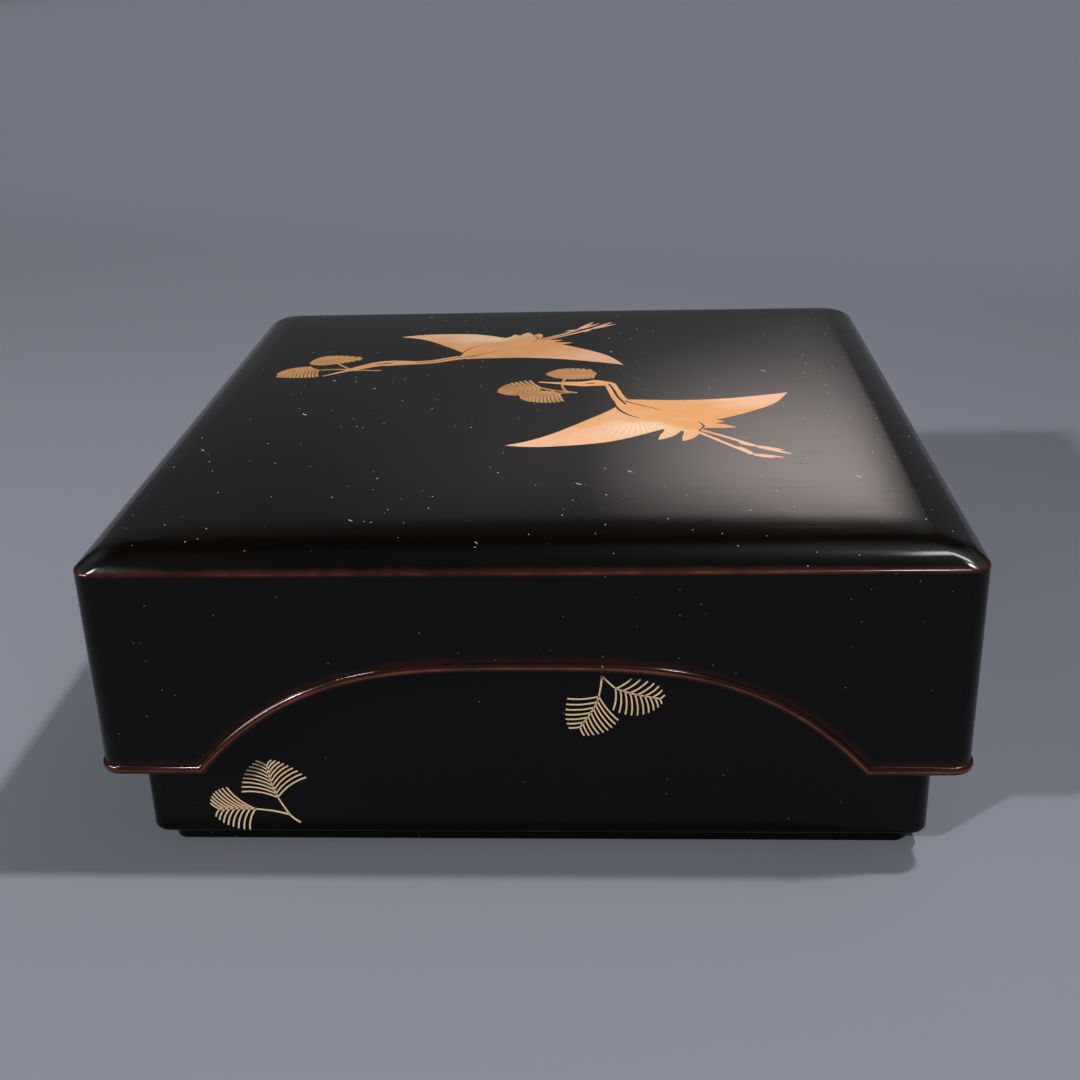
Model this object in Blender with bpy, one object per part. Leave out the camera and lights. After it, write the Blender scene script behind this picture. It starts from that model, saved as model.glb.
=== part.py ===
"""A black lacquer box with a lift-off lid, arched at the front and the back for the fingers.

The lid is a shell that overlaps the box body on all four sides. Its top is slightly crowned and bends through
a curved shoulder to an arris, where the upright walls begin. A raised bead follows the lower edge. The front
and the back wall are cut away in a wide arch, where two hands hold the body while the lid comes off.
The body is a plain tray on a low recessed foot, and the lid's ceiling rests on its rim.

Metres. +X is to the right, +Y to the back and +Z up. The origin is under the middle of the box, on the table.
"""

import math

import bmesh
import bpy

# Lid, outside
LID_WIDTH = 0.2100
LID_DEPTH = 0.2250
LID_CORNER_RADIUS = 0.0052
LID_WALL_HEIGHT = 0.0531  # from the lower edge to the arris
ARRIS_RADIUS = 0.0008
SHOULDER_WIDTH = 0.0113
SHOULDER_RISE = 0.0043
SHOULDER_CORNER_RADIUS = 0.0065
CROWN_RISE = 0.0016

# Lid, inside
LID_WALL = 0.0055
LID_TOP_THICKNESS = 0.0060  # at the shoulder's inner edge
LID_INNER_CORNER_RADIUS = 0.0030

# Arches in the front and the back wall of the lid
ARCH_MARGIN = 0.0255  # from the side of the lid to the end of the arch
ARCH_RISE = 0.0280
ARCH_POWER = 3.3  # how square the arch is: 2 is a parabola

# Bead along the lower edge of the lid
BEAD_HEIGHT = 0.0022
BEAD_PROUD = 0.0007

# Body
BODY_HEIGHT = 0.0778  # from the table to the rim
BODY_WALL = 0.0050
BODY_FLOOR = 0.0050
BODY_CORNER_RADIUS = 0.0045
BODY_INNER_CORNER_RADIUS = 0.0030
BODY_EDGE_RADIUS = 0.0008
FOOT_HEIGHT = 0.0047
FOOT_INSET = 0.0042
FOOT_WIDTH = 0.0060
FOOT_CORNER_RADIUS = 0.0035
FOOT_INNER_CORNER_RADIUS = 0.0025

# Fits
LID_CLEARANCE = 0.0020  # between the lid's inner wall and the body's outer wall
REST_GAP = 0.0003  # between the body's rim and the lid's ceiling

# How finely curves are cut into flats
ARCH_STEPS = 40
SIDE_STEPS = 8
CORNER_STEPS = 6
BEAD_STEPS = 6
ARRIS_STEPS = 3
SHOULDER_STEPS = 6
EDGE_STEPS = 2
CROWN_RINGS = 4

SMOOTH_BELOW = math.radians(30)
BLACK_LACQUER = (0.012, 0.011, 0.011, 1.0)
LACQUER_ROUGHNESS = 0.12

ARCH_HALF_WIDTH = LID_WIDTH / 2 - ARCH_MARGIN
CEILING_HEIGHT = LID_WALL_HEIGHT + SHOULDER_RISE - LID_TOP_THICKNESS
BODY_WIDTH = LID_WIDTH - 2 * (LID_WALL + LID_CLEARANCE)
BODY_DEPTH = LID_DEPTH - 2 * (LID_WALL + LID_CLEARANCE)
LIP_HEIGHT = BODY_HEIGHT + REST_GAP - CEILING_HEIGHT


def clear_scene():
    for thing in list(bpy.data.objects):
        bpy.data.objects.remove(thing)


def lacquer(name):
    material = bpy.data.materials.new(name)
    material.use_nodes = True
    shader = material.node_tree.nodes["Principled BSDF"]
    shader.inputs["Base Color"].default_value = BLACK_LACQUER
    shader.inputs["Roughness"].default_value = LACQUER_ROUGHNESS
    shader.inputs["Metallic"].default_value = 0.0
    return material


def corner_arc(center_x, center_y, radius, start_degrees):
    """A quarter of a circle seen from above, anticlockwise from the given direction."""
    angles = [math.radians(start_degrees + 90 * step / CORNER_STEPS) for step in range(CORNER_STEPS + 1)]
    return [(center_x + radius * math.cos(angle), center_y + radius * math.sin(angle)) for angle in angles]


def rounded_rectangle(half_width, half_depth, radius, across=(), along=()):
    """A rounded rectangle from above, anticlockwise.

    Across holds the x of extra points on its front and its back, and along the y of those on its two sides.
    """
    x = half_width - radius
    y = half_depth - radius
    front = [(station, -half_depth) for station in across]
    right = [(half_width, station) for station in along]
    back = [(station, half_depth) for station in reversed(across)]
    left = [(-half_width, station) for station in reversed(along)]
    front_right = corner_arc(x, -y, radius, 270)
    back_right = corner_arc(x, y, radius, 0)
    back_left = corner_arc(-x, y, radius, 90)
    front_left = corner_arc(-x, -y, radius, 180)
    return front + front_right + right + back_right + back + back_left + left + front_left


def arc_profile(inset, height, radius, start, end, steps):
    """(inset, height) along an arc about that point. 0 degrees faces outwards and 90 degrees faces up."""
    angles = [start + (end - start) * step / steps for step in range(steps + 1)]
    return [(inset - radius * math.cos(angle), height + radius * math.sin(angle)) for angle in angles]


def loft(mesh_data, rings):
    """Skins a list of rings, each with as many points as the first."""
    rows = [[mesh_data.verts.new(point) for point in ring] for ring in rings]
    for lower, upper in zip(rows, rows[1:]):
        for index in range(len(lower)):
            following = (index + 1) % len(lower)
            mesh_data.faces.new((lower[index], lower[following], upper[following], upper[index]))
    return rows


def make_object(name, mesh_data, parent, height):
    mesh = bpy.data.meshes.new(name)
    mesh_data.to_mesh(mesh)
    mesh_data.free()
    mesh.shade_smooth()
    mesh.set_sharp_from_angle(angle=SMOOTH_BELOW)
    mesh.materials.append(lacquer(name + "_lacquer"))
    piece = bpy.data.objects.new(name, mesh)
    piece.location.z = height
    piece.parent = parent
    bpy.context.scene.collection.objects.link(piece)
    return piece


def arch_stations():
    """Places along the front wall, from the left end of the arch to its right end."""
    return [ARCH_HALF_WIDTH * (2 * step / ARCH_STEPS - 1) for step in range(ARCH_STEPS + 1)]


def arch_lift(x):
    """How far the lower edge of the wall is lifted at x."""
    return ARCH_RISE * (1 - abs(x / ARCH_HALF_WIDTH) ** ARCH_POWER)


def across_bead(x):
    """The direction in the wall from its lower edge across the bead, mitred where the arch meets the straight lip."""
    reach = abs(x / ARCH_HALF_WIDTH)
    slope = math.copysign(ARCH_RISE * ARCH_POWER / ARCH_HALF_WIDTH * reach ** (ARCH_POWER - 1), x)
    length = math.hypot(slope, 1)
    along, up = slope / length, 1 / length
    at_end = math.isclose(reach, 1)
    return (along / (1 + up), 1) if at_end else (along, up)


def lid_plan(inset, radius, spread=1.0):
    """The lid's outline, this far inside its walls. Spread draws the stations of the arch together."""
    half_depth = LID_DEPTH / 2 - inset
    across = [x * spread for x in arch_stations()]
    along = [(half_depth - radius) * (2 * step / SIDE_STEPS - 1) for step in range(1, SIDE_STEPS)]
    return rounded_rectangle(LID_WIDTH / 2 - inset, half_depth, radius, across, along)


def lip_ring(inset, radius, rise):
    """A ring that follows the lower edge of the lid and its arches, this far above the edge."""
    arch = [(arch_lift(x), across_bead(x)) for x in arch_stations()]
    straight = [(0.0, (0.0, 1.0))] * (2 * (CORNER_STEPS + 1) + SIDE_STEPS - 1)
    edge = arch + straight + arch[::-1] + straight
    return [
        (x + rise * along, y, lift + rise * up)
        for (x, y), (lift, (along, up)) in zip(lid_plan(inset, radius), edge)
    ]


def crown(x, y):
    """How far the crown lifts the lid's top at this place."""
    return CROWN_RISE * (1 - (2 * x / LID_WIDTH) ** 2) * (1 - (2 * y / LID_DEPTH) ** 2)


def shoulder_profile():
    """(inset, height) from the wall over the rounded arris and up the shoulder, which ends level at its inner edge."""
    radius = (SHOULDER_WIDTH**2 + SHOULDER_RISE**2) / (2 * SHOULDER_RISE)
    center_height = LID_WALL_HEIGHT + SHOULDER_RISE - radius
    tangent = math.acos((SHOULDER_WIDTH - ARRIS_RADIUS) / (radius - ARRIS_RADIUS))
    arris_height = center_height + (radius - ARRIS_RADIUS) * math.sin(tangent)
    arris = arc_profile(ARRIS_RADIUS, arris_height, ARRIS_RADIUS, 0, tangent, ARRIS_STEPS)
    shoulder = arc_profile(SHOULDER_WIDTH, center_height, radius, tangent, math.pi / 2, SHOULDER_STEPS)
    return arris + shoulder[1:]


def shoulder_ring(inset, height):
    """The plan's corners grow from the wall's radius to the radius of the flat top."""
    share = inset / SHOULDER_WIDTH
    radius = LID_CORNER_RADIUS + share * (SHOULDER_CORNER_RADIUS - LID_CORNER_RADIUS)
    spread = (LID_WIDTH / 2 - inset - radius) / (LID_WIDTH / 2 - LID_CORNER_RADIUS)
    return [(x, y, height + crown(x, y)) for x, y in lid_plan(inset, radius, spread)]


def bead_rings():
    """From the outer lower edge of the wall, over the half-round bead and back to the wall."""
    rings = []
    for step in range(BEAD_STEPS + 1):
        angle = math.pi * (step / BEAD_STEPS - 0.5)
        proud = BEAD_PROUD * math.cos(angle)
        rise = BEAD_HEIGHT * (1 + math.sin(angle)) / 2
        rings.append(lip_ring(-proud, LID_CORNER_RADIUS + proud, rise))
    return rings


def crown_rings(rim, rim_height):
    """Rings on the top, drawn in towards its middle from the shoulder's inner ring."""
    rings = []
    for step in range(1, CROWN_RINGS):
        share = 1 - step / CROWN_RINGS
        drawn_in = [(x * share, y * share) for x, y, z in rim]
        rings.append([(x, y, rim_height + crown(x, y)) for x, y in drawn_in])
    return rings


def close_with_fan(mesh_data, ring, middle_point):
    """Closes the last ring of a loft with triangles that meet in its middle."""
    middle = mesh_data.verts.new(middle_point)
    for index in range(len(ring)):
        mesh_data.faces.new((ring[index], ring[(index + 1) % len(ring)], middle))


def make_lid(parent):
    """The lid is one shell, from its ceiling down the inside, round the bead and up over the top."""
    inner = lid_plan(LID_WALL, LID_INNER_CORNER_RADIUS)
    ceiling = [(x, y, CEILING_HEIGHT) for x, y in inner]
    inner_lip = lip_ring(LID_WALL, LID_INNER_CORNER_RADIUS, 0)
    shoulder = [shoulder_ring(inset, height) for inset, height in shoulder_profile()]
    top_height = LID_WALL_HEIGHT + SHOULDER_RISE
    top = crown_rings(shoulder[-1], top_height)

    mesh_data = bmesh.new()
    rows = loft(mesh_data, [ceiling, inner_lip] + bead_rings() + shoulder + top)
    mesh_data.faces.new(reversed(rows[0]))
    close_with_fan(mesh_data, rows[-1], (0, 0, top_height + crown(0, 0)))
    return make_object("lid", mesh_data, parent, LIP_HEIGHT)


def body_ring(inset, height, radius):
    outline = rounded_rectangle(BODY_WIDTH / 2 - inset, BODY_DEPTH / 2 - inset, radius)
    return [(x, y, height) for x, y in outline]


def body_edge(inset, height, start, radius, turn=90):
    """A small rounding of one edge of the body, about a point inside its wall."""
    profile = arc_profile(
        inset, height, BODY_EDGE_RADIUS, math.radians(start), math.radians(start + turn), EDGE_STEPS
    )
    return [body_ring(at_inset, at_height, radius) for at_inset, at_height in profile]


def make_body(parent):
    """The body is one tray: from the hollow under the foot, up the outside, over the rim and down to the floor."""
    outer = BODY_CORNER_RADIUS
    inner = BODY_INNER_CORNER_RADIUS
    hollow_inset = FOOT_INSET + FOOT_WIDTH
    rings = [
        body_ring(hollow_inset, FOOT_HEIGHT, FOOT_INNER_CORNER_RADIUS),
        body_ring(hollow_inset, 0, FOOT_INNER_CORNER_RADIUS),
        body_ring(FOOT_INSET, 0, FOOT_CORNER_RADIUS),
        body_ring(FOOT_INSET, FOOT_HEIGHT, FOOT_CORNER_RADIUS),
    ]
    rings += body_edge(BODY_EDGE_RADIUS, FOOT_HEIGHT + BODY_EDGE_RADIUS, -90, outer)
    rings += body_edge(BODY_EDGE_RADIUS, BODY_HEIGHT - BODY_EDGE_RADIUS, 0, outer)
    rings += body_edge(BODY_WALL - BODY_EDGE_RADIUS, BODY_HEIGHT - BODY_EDGE_RADIUS, 90, inner)
    rings.append(body_ring(BODY_WALL, FOOT_HEIGHT + BODY_FLOOR, inner))

    mesh_data = bmesh.new()
    rows = loft(mesh_data, rings)
    mesh_data.faces.new(reversed(rows[0]))
    mesh_data.faces.new(rows[-1])
    return make_object("box_body", mesh_data, parent, 0)


def main():
    clear_scene()
    box = bpy.data.objects.new("lacquer_box", None)
    bpy.context.scene.collection.objects.link(box)
    make_body(box)
    make_lid(box)


main()
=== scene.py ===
# %% [markdown]
# A black lacquer box with two gold cranes
#
# The real box is thin wood under many coats of black lacquer, polished until it mirrors the room. A lid laps
# over a plain tray, and gold powder was sprinkled into wet lacquer to draw cranes and pine sprigs.
# The frame below holds the two solids, the lid and the tray, at their real size. This lesson gives each of
# them a smooth skin, then paints the gold on top, and lights it all as a small studio would.

import math

import bmesh
import bpy
from mathutils import Matrix, Vector
from mathutils.geometry import delaunay_2d_cdt


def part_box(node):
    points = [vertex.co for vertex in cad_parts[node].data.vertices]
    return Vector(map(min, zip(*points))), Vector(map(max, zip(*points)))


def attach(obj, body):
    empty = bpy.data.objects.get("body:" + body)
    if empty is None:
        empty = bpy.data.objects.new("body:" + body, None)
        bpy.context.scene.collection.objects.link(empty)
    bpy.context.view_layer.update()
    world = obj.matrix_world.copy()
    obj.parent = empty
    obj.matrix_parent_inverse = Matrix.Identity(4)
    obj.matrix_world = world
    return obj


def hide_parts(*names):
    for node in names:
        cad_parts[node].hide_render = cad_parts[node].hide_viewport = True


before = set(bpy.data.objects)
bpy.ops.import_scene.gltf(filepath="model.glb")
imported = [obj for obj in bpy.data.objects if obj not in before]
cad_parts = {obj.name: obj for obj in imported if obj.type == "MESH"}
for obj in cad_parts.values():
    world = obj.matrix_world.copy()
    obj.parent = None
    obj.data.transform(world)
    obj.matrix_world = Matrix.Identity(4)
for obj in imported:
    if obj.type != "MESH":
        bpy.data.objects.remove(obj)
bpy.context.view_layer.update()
lid_low, lid_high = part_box("lid")
body_low, body_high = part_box("box_body")
MM = 0.001
lid_corners_mm = [[round(value / MM, 1) for value in corner] for corner in (lid_low, lid_high)]
print("lid from", lid_corners_mm[0], "to", lid_corners_mm[1], "mm")

# %% [markdown]
# The camera comes first, because every later choice is judged through it. Its place and lens were worked out
# from the box's own edges in the photograph: a hand-held view from just above, a little right of the middle.
# A rotation built from three plain turns (pitch, yaw, roll) is easier to read than a row of numbers.

# %% Camera
CAMERA_PLACE = Vector((21.5, -408.3, 216.6)) * MM
CAMERA_PITCH = math.radians(23.46)
CAMERA_YAW = math.radians(3.39)
CAMERA_ROLL = math.radians(-1.73)
CAMERA_LENS_MM = 48.3
SENSOR_MM = 36.0


def make_camera():
    data = bpy.data.cameras.new("camera")
    data.sensor_fit = "HORIZONTAL"
    data.sensor_width = SENSOR_MM
    data.lens = CAMERA_LENS_MM
    data.clip_start = 0.01
    camera = bpy.data.objects.new("camera", data)
    turn = Matrix.Rotation(CAMERA_YAW, 4, "Z") @ Matrix.Rotation(math.pi / 2 - CAMERA_PITCH, 4, "X")
    camera.matrix_world = Matrix.Translation(CAMERA_PLACE) @ turn @ Matrix.Rotation(CAMERA_ROLL, 4, "Z")
    bpy.context.scene.collection.objects.link(camera)
    bpy.context.scene.camera = camera


make_camera()
print("camera", round(CAMERA_PLACE.length, 3), "m from the point under the middle of the box")

# %% [markdown]
# Node trees are long to write by hand, so a few small helpers come next. One adds a node and sets its
# values, one wires a value or another node's output into a socket, and the rest wrap the nodes used most.

# %% Helpers for node trees


def feed(tree, socket, value):
    """Wires another node's output into the socket, or sets a plain value on it."""
    if isinstance(value, bpy.types.NodeSocket):
        tree.links.new(value, socket)
    else:
        socket.default_value = value


def add_node(tree, kind, inputs=None, **settings):
    node = tree.nodes.new(kind)
    for name, value in settings.items():
        setattr(node, name, value)
    for name, value in (inputs or {}).items():
        feed(tree, node.inputs[name], value)
    return node


def math_node(tree, operation, first, second=0.0):
    return add_node(tree, "ShaderNodeMath", {0: first, 1: second}, operation=operation).outputs[0]


def product(tree, first, *others):
    for other in others:
        first = math_node(tree, "MULTIPLY", first, other)
    return first


def scale_and_add(tree, value, factor, offset):
    inputs = {0: value, 1: factor, 2: offset}
    return add_node(tree, "ShaderNodeMath", inputs, operation="MULTIPLY_ADD").outputs[0]


def smooth_step(tree, value, start, end):
    """0 at start, 1 at end and smooth between them. End may be below start."""
    low, high = min(start, end), max(start, end)
    bounds = {"From Min": low, "From Max": high, "To Min": float(end < start), "To Max": float(end > start)}
    node = add_node(tree, "ShaderNodeMapRange", {"Value": value, **bounds}, interpolation_type="SMOOTHSTEP")
    return node.outputs["Result"]


def noise(tree, place, scale, detail):
    inputs = {"Vector": place, "Scale": scale, "Detail": detail}
    return add_node(tree, "ShaderNodeTexNoise", inputs).outputs["Fac"]


def vector(tree, **parts):
    return add_node(tree, "ShaderNodeCombineXYZ", parts).outputs[0]


def stretched(tree, place, scale):
    return add_node(tree, "ShaderNodeMapping", {"Vector": place, "Scale": scale}).outputs[0]


def object_place(tree):
    return add_node(tree, "ShaderNodeTexCoord").outputs["Object"]


def stored_value(tree, name):
    """A number that the mesh stores at each of its points."""
    return add_node(tree, "ShaderNodeAttribute", attribute_name=name).outputs["Fac"]


def add_bump(tree, shader, height, strength, distance):
    inputs = {"Height": height, "Strength": strength, "Distance": distance}
    feed(tree, shader.inputs["Normal"], add_node(tree, "ShaderNodeBump", inputs).outputs["Normal"])


def mix_colours(tree, factor, first, second):
    node = tree.nodes.new("ShaderNodeMix")
    node.data_type = "RGBA"
    feed(tree, node.inputs["Factor"], factor)
    feed(tree, node.inputs["A"], first)
    feed(tree, node.inputs["B"], second)
    return node.outputs["Result"]


def new_group(name, inputs, outputs):
    """A shader node group, with its sockets given as {name: (kind, default)} and {name: kind}."""
    group = bpy.data.node_groups.new(name, "ShaderNodeTree")
    for socket_name, (kind, default) in inputs.items():
        socket = group.interface.new_socket(name=socket_name, in_out="INPUT", socket_type="NodeSocket" + kind)
        socket.default_value = default
    for socket_name, kind in outputs.items():
        group.interface.new_socket(name=socket_name, in_out="OUTPUT", socket_type="NodeSocket" + kind)
    return group, group.nodes.new("NodeGroupInput").outputs, group.nodes.new("NodeGroupOutput").inputs


def place_group(tree, group, inputs):
    node = tree.nodes.new("ShaderNodeGroup")
    node.node_tree = group
    for name, value in inputs.items():
        feed(tree, node.inputs[name], value)
    return node.outputs


# %% [markdown]
# Studio light. A polished black box shows hardly any colour of its own: what the eye reads is the room in
# it. Two lamps light the box and make its two shadows, one high on the right and one low on the front left.
# A third, high over the far floor, evens out the backdrop and stays out of all reflections. Four panels are
# there for the lacquer: they show in it as highlights, and no matt surface gets any light from them.
# The broad glow on the right of the lid is a pale patch of room behind the box, painted into the world with
# soft edges, because the edge of a lamp would be hard.

# %% Lamps
LAMP_COLOUR = (1.0, 0.97, 0.94)
WARM_COLOUR = (1.0, 0.80, 0.72)
LAMP_TARGET = Vector((0, 0, 0.05))
SUN_DISTANCE = 1.5  # a sun shines the same from any distance
SPOT_AIM = Vector((-0.40, -0.55, 0))
SPOT_ANGLE = math.radians(58)
BACKDROP_PLACE = (1.0, 3.3, 9.0)
BACKDROP_POWER = 800.0
BACKDROP_ANGLE = math.radians(40.8)
BACKDROP_BLEND = 0.3


def turned_from(lamp, aim):
    """The turn that points a lamp at this place."""
    return (lamp.location - aim).to_track_quat("Z", "Y").to_euler()


def add_lamp(data, toward, distance):
    """Places a lamp in a direction from the box, turned towards it."""
    lamp = bpy.data.objects.new(data.name, data)
    direction = Vector(toward).normalized()
    lamp.location = LAMP_TARGET + direction * distance
    lamp.rotation_euler = direction.to_track_quat("Z", "Y").to_euler()
    data.color = LAMP_COLOUR
    bpy.context.scene.collection.objects.link(lamp)
    return lamp


def add_spot(name, toward, distance, radius, power):
    data = bpy.data.lights.new(name, "SPOT")
    data.shadow_soft_size = radius
    data.spot_size = SPOT_ANGLE
    data.spot_blend = 1.0
    data.energy = power
    lamp = add_lamp(data, toward, distance)
    lamp.rotation_euler = turned_from(lamp, SPOT_AIM)


def add_sun(name, toward, spread, strength):
    data = bpy.data.lights.new(name, "SUN")
    data.angle = spread
    data.energy = strength
    add_lamp(data, toward, SUN_DISTANCE)


def add_panel(name, place, width, depth, power):
    """A level panel that shows in polished surfaces only."""
    data = bpy.data.lights.new(name, "AREA")
    data.shape = "RECTANGLE"
    data.size = width
    data.size_y = depth
    data.energy = power
    offset = Vector(place) - LAMP_TARGET
    lamp = add_lamp(data, offset, offset.length)
    lamp.rotation_euler = (0, 0, 0)
    lamp.visible_diffuse = False
    return lamp


def add_backdrop_lamp():
    """A lamp straight above the far floor, whose cone ends just behind the box."""
    data = bpy.data.lights.new("lamp_backdrop", "SPOT")
    data.energy = BACKDROP_POWER
    data.spot_size = BACKDROP_ANGLE
    data.spot_blend = BACKDROP_BLEND
    lamp = bpy.data.objects.new(data.name, data)
    lamp.location = BACKDROP_PLACE
    lamp.visible_glossy = False
    bpy.context.scene.collection.objects.link(lamp)


# %% Lamps and panels in place
add_spot("lamp_above_right", toward=(0.44, 0.0, 0.90), distance=2.2, radius=0.05, power=157.0)
add_sun("lamp_front_left", toward=(-0.68, -0.56, 0.47), spread=0.06, strength=2.5)
add_panel("panel_behind_right", place=(0.59, 0.31, 1.35), width=0.46, depth=0.22, power=6.5)
add_panel("panel_above_front", place=(0.425, -0.82, 1.35), width=0.11, depth=0.24, power=18.0)
add_panel("panel_above_left", place=(-0.75, -0.21, 1.32), width=0.20, depth=0.16, power=9.0)
soft_left = add_panel("panel_soft_left", place=(-1.05, -0.62, 0.52), width=0.75, depth=0.40, power=24.0)
soft_left.data.color = WARM_COLOUR
soft_left.rotation_euler = turned_from(soft_left, LAMP_TARGET)
add_backdrop_lamp()
print("lamps:", ", ".join(light.name for light in bpy.data.lights))

# %% World
BACK_COLOUR = (0.135, 0.138, 0.145, 1.0)
SIDE_COLOUR = (0.045, 0.047, 0.052, 1.0)
DIM_COLOUR = (0.030, 0.020, 0.010, 1.0)
OVERHEAD_COLOUR = (0.14, 0.14, 0.15, 1.0)
HIGH_SIDES_COLOUR = (0.42, 0.43, 0.45, 1.0)
FRONT_COLOUR = (0.24, 0.25, 0.28, 1.0)
GLOW_COLOUR = (3.75, 3.34, 3.2, 1.0)
HALO_COLOUR = (1.7, 1.8, 2.0, 1.0)
HALO_TOWARD = Vector((0.35, 0.37, 0.86)).normalized()
HALO_SHARPNESS = 40.0
GLOW_LEFT = (-3.4, 9.6)  # degrees to the right of straight back: from dark to full
SPILL_LEFT = (-16.0, 0.0)  # the same for the faint light beside the glow
SPILL_SHARE = 0.07
GLOW_RIGHT = (15.6, 10.4)  # from dark, on its right, to full
GLOW_LOW = (13.4, 25.6)  # degrees above the horizon: from dark to full
GLOW_HIGH = (26.6, 22.6)  # from dark, above it, to full, where the glow meets straight back
GLOW_TILT = 0.1  # how much lower its upper end is for each degree to the right
BACK_SIDE = (16.0, 40.0)  # degrees to either side: from the back to the darker sides
DIM_START = (22.0, 30.0)  # degrees above the horizon: from room to dim
OVERHEAD_START = (48.0, 72.0)  # from dim to overhead
FRONT_START = (0.0, -0.5)  # the part of the direction that points to the back: from room to front
SIDES_START = (0.38, 0.60)  # the part that points to a side: from room to the high sides
SIDES_LIFT = (0.30, 0.60)  # and the part that points up


def step_in_degrees(tree, angle, edges):
    return smooth_step(tree, angle, math.radians(edges[0]), math.radians(edges[1]))


def make_world():
    world = bpy.data.worlds.new("studio")
    bpy.context.scene.world = world
    world.use_nodes = True
    tree = world.node_tree
    tree.nodes.clear()
    direction = add_node(tree, "ShaderNodeTexCoord").outputs["Generated"]
    x, y, z = add_node(tree, "ShaderNodeSeparateXYZ", {0: direction}).outputs
    sideways = math_node(tree, "ARCTAN2", x, y)
    upwards = math_node(tree, "ARCSINE", z)
    to_side = step_in_degrees(tree, math_node(tree, "ABSOLUTE", sideways), BACK_SIDE)
    room = mix_colours(tree, to_side, BACK_COLOUR, SIDE_COLOUR)
    room = mix_colours(tree, step_in_degrees(tree, upwards, DIM_START), room, DIM_COLOUR)
    room = mix_colours(tree, step_in_degrees(tree, upwards, OVERHEAD_START), room, OVERHEAD_COLOUR)
    room = mix_colours(tree, smooth_step(tree, y, *FRONT_START), room, FRONT_COLOUR)
    outwards = smooth_step(tree, math_node(tree, "ABSOLUTE", x), *SIDES_START)
    high_sides = product(tree, outwards, smooth_step(tree, z, *SIDES_LIFT))
    room = mix_colours(tree, high_sides, room, HIGH_SIDES_COLOUR)

    spill = product(tree, step_in_degrees(tree, sideways, SPILL_LEFT), SPILL_SHARE)
    glow = math_node(tree, "MAXIMUM", step_in_degrees(tree, sideways, GLOW_LEFT), spill)
    tilted = scale_and_add(tree, sideways, GLOW_TILT, upwards)
    for angle, edges in ((sideways, GLOW_RIGHT), (upwards, GLOW_LOW), (tilted, GLOW_HIGH)):
        glow = product(tree, glow, step_in_degrees(tree, angle, edges))
    room = mix_colours(tree, glow, room, GLOW_COLOUR)

    facing = add_node(tree, "ShaderNodeVectorMath", {0: direction, 1: HALO_TOWARD}, operation="DOT_PRODUCT")
    near_halo = math_node(tree, "MAXIMUM", facing.outputs["Value"], 0.0)
    halo = math_node(tree, "POWER", near_halo, HALO_SHARPNESS)
    room = mix_colours(tree, halo, room, HALO_COLOUR)
    background = add_node(tree, "ShaderNodeBackground", {"Color": room})
    output = add_node(tree, "ShaderNodeOutputWorld")
    tree.links.new(background.outputs[0], output.inputs["Surface"])


make_world()
bpy.context.scene.view_settings.view_transform = "Standard"
print("world glow between", GLOW_LEFT[0], "and", GLOW_RIGHT[0], "degrees")

# %% [markdown]
# The floor is a plain pale sheet, large enough to reach past the top of the picture. It is a stage and no
# part of the box. It still matters: the front of the box mirrors it.

# %% Floor
FLOOR_HALF = 8.0
FLOOR_COLOUR = (0.186, 0.200, 0.238, 1.0)
FLOOR_ROUGHNESS = 0.9
FLOOR_SPECULAR = 0.1


def make_floor():
    mesh = bpy.data.meshes.new("floor")
    corners = [(x * FLOOR_HALF, y * FLOOR_HALF, 0) for x, y in ((-1, -1), (1, -1), (1, 1), (-1, 1))]
    mesh.from_pydata(corners, [], [(0, 1, 2, 3)])
    material = bpy.data.materials.new("pale_floor")
    material.use_nodes = True
    shader = material.node_tree.nodes["Principled BSDF"]
    shader.inputs["Base Color"].default_value = FLOOR_COLOUR
    shader.inputs["Roughness"].default_value = FLOOR_ROUGHNESS
    shader.inputs["Specular IOR Level"].default_value = FLOOR_SPECULAR
    mesh.materials.append(material)
    floor = bpy.data.objects.new("floor", mesh)
    bpy.context.scene.collection.objects.link(floor)


make_floor()
print("floor", 2 * FLOOR_HALF, "m wide")

# %% [markdown]
# Two effects are used by more than one material, so each is a node group, built once.
#
# Polished lacquer: the black is not quite even. Along arrises and beads the top coat is thin or rubbed
# away, and the red-brown undercoat shows through. Where that happens comes from the mesh, as an attribute
# called worn, and noise breaks its edge up so that it looks rubbed and not painted. The polish leaves very
# slight waves, which bend the reflections, and hairlines, which dull them a little.
#
# Settled dust: a few pale specks where the surface faces up.

# %% Node group for polished lacquer
RUB_GRAIN = (150.0, 5.0)  # each noise by its scale to a metre and its detail
RUB_PATCHES = (22.0, 2.0)
BLACK_CLOUDS = (9.0, 3.0)
POLISH_WAVES = (28.0, 1.0)
POLISH_GRAIN = (900.0, 2.0)
GRAIN_SHARE = 0.02
HAIRLINE_STRETCH = (30.0, 900.0, 900.0)
HAIRLINE_DEPTH = (0.62, 0.74)
RUB_UNEVEN = 0.5
CREST_UNEVEN = 0.35
LEAST_WORN = 0.02
SHOWS_UNDERCOAT = (0.2, 0.9)
SHOWS_CREST = (0.88, 1.04)
DULLED_BY = 0.05
WARM_BLACK = (0.0018, 0.0013, 0.0009, 1.0)


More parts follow.
